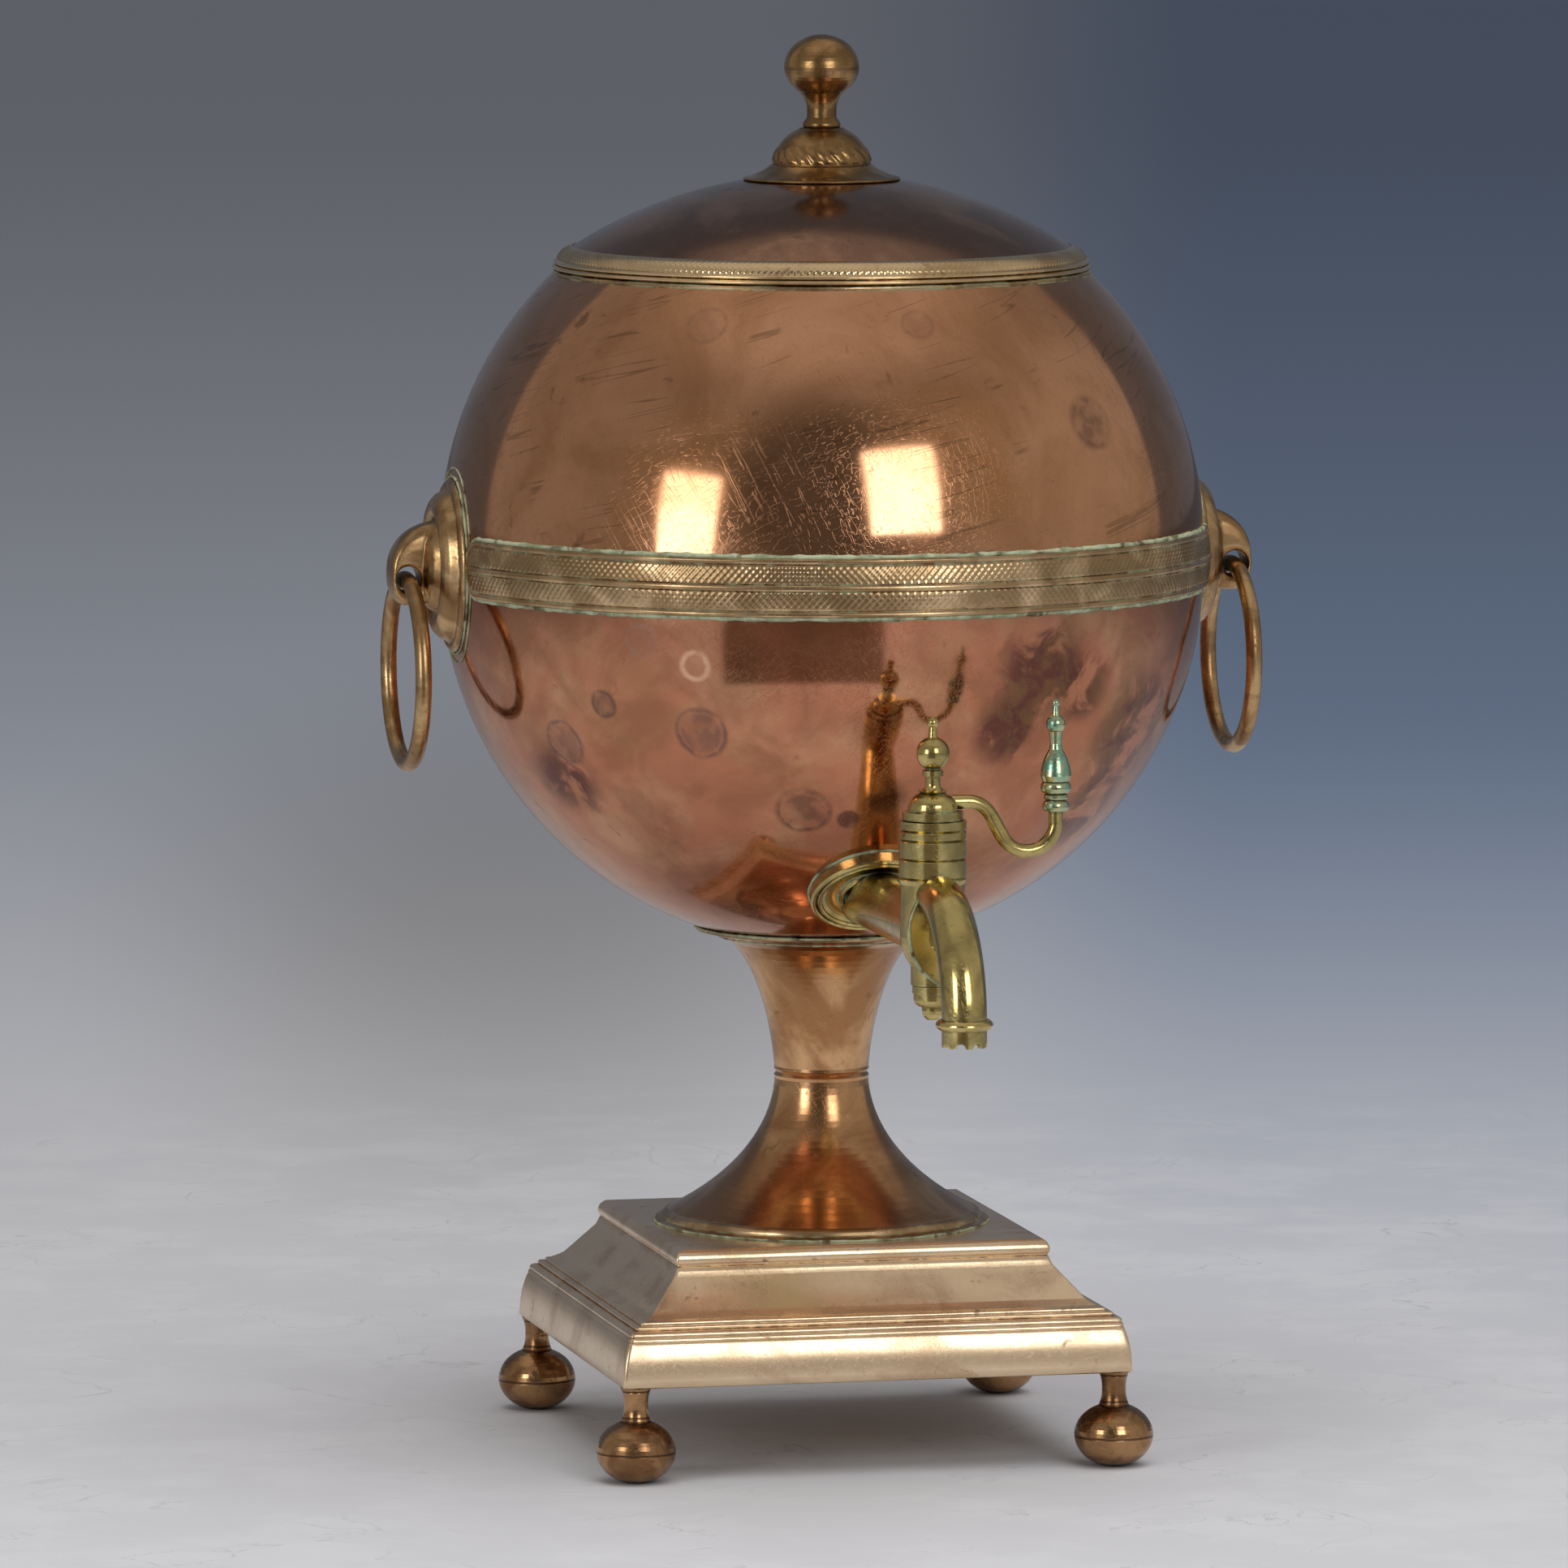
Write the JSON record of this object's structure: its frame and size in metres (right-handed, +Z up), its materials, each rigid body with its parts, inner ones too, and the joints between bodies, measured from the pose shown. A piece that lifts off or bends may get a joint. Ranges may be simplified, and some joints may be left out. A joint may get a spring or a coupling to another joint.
{
  "type": "hot-water urn",
  "caption": "Ball-shaped copper hot-water urn on a pedestal and square plinth, with a lift-off lid, a lever tap, ring handles and an iron heating slug in a dry well.",
  "frame": {"origin": "on the ground, under the bowl's upright axis and in the middle of the four feet", "axes": "+Z up along the bowl's axis, -Y to the front where the tap is, +X to the right as seen from the front"},
  "size_m": [0.2878, 0.3362, 0.4599],
  "materials": {
    "bowl_copper": "polished old copper, tarnished and finely scratched",
    "lid_copper": "polished old copper, darker brown",
    "tinned_copper": "dull wiped tin over copper",
    "plinth_brass": "polished pinkish bell metal",
    "stem_brass": "polished orange bronze",
    "old_brass": "worn brass, dark in the recesses",
    "tap_brass": "yellow brass, worn and scratched",
    "grip_brass": "brass with a pale green patina",
    "handle_bronze": "dark worn bronze",
    "finial_bronze": "dark cast bronze",
    "foot_bronze": "dark cast bronze",
    "iron": "forged iron, dull and dark"
  },
  "bodies": {
    "urn": {"foot_front_left": "foot_bronze", "foot_front_right": "foot_bronze", "foot_back_left": "foot_bronze", "foot_back_right": "foot_bronze", "foot_nuts": "iron", "corner_pads": "old_brass", "plinth": "plinth_brass", "pedestal_ring": "old_brass", "stem_lower": "stem_brass", "stem_upper": "stem_brass", "stem_sleeve": "old_brass", "tie_rod": "iron", "tie_boss": "old_brass", "tie_washer": "old_brass", "tie_nut": "iron", "bowl_seat": "stem_brass", "bowl_lower": "bowl_copper", "bowl_upper": "bowl_copper", "band_front": "old_brass", "band_back": "old_brass", "mouth_collar": "old_brass", "heater_well": "tinned_copper", "handle_plate_left": "handle_bronze", "handle_plate_right": "handle_bronze", "tap_flange": "tap_brass", "tap_body": "tap_brass", "tap_spout": "tap_brass"},
    "tap_key": {"tap_plug": "tap_brass", "tap_lever": "tap_brass", "lever_grip": "grip_brass", "tap_finial": "tap_brass", "plug_washer": "tap_brass", "plug_button": "tap_brass"},
    "lid": {"lid_dome": "lid_copper", "lid_rim": "old_brass", "lid_bezel": "old_brass", "finial_foot": "finial_bronze", "finial_knob": "finial_bronze", "finial_washer": "old_brass", "finial_nut": "iron"},
    "ring_handle_left": {"ring_left": "handle_bronze"},
    "ring_handle_right": {"ring_right": "handle_bronze"},
    "slug": {"heater_slug": "iron", "slug_eye": "iron"},
    "cover": {"well_cover": "old_brass", "cover_knob": "finial_bronze"}
  },
  "joints": [
    {"name": "lid_lift", "type": "slide", "parent": "urn", "child": "lid", "axis": [0, 0, 1], "range_m": [0, 0.08]},
    {"name": "tap_turn", "type": "hinge", "parent": "urn", "child": "tap_key", "pos_m": [0, -0.157, 0.194], "axis": [0, 0, 1], "range_deg": [-230, 50]},
    {"name": "ring_left_swing", "type": "hinge", "parent": "urn", "child": "ring_handle_left", "pos_m": [-0.138, 0, 0.28504], "axis": [0, 1, 0], "range_deg": [-20, 190]},
    {"name": "ring_right_swing", "type": "hinge", "parent": "urn", "child": "ring_handle_right", "pos_m": [0.138, 0, 0.28504], "axis": [0, -1, 0], "range_deg": [-20, 190]},
    {"name": "cover_lift", "type": "slide", "parent": "urn", "child": "cover", "axis": [0, 0, 1], "range_m": [0, 0.03]},
    {"name": "slug_lift", "type": "slide", "parent": "urn", "child": "slug", "axis": [0, 0, 1], "range_m": [0, 0.022]}
  ]
}
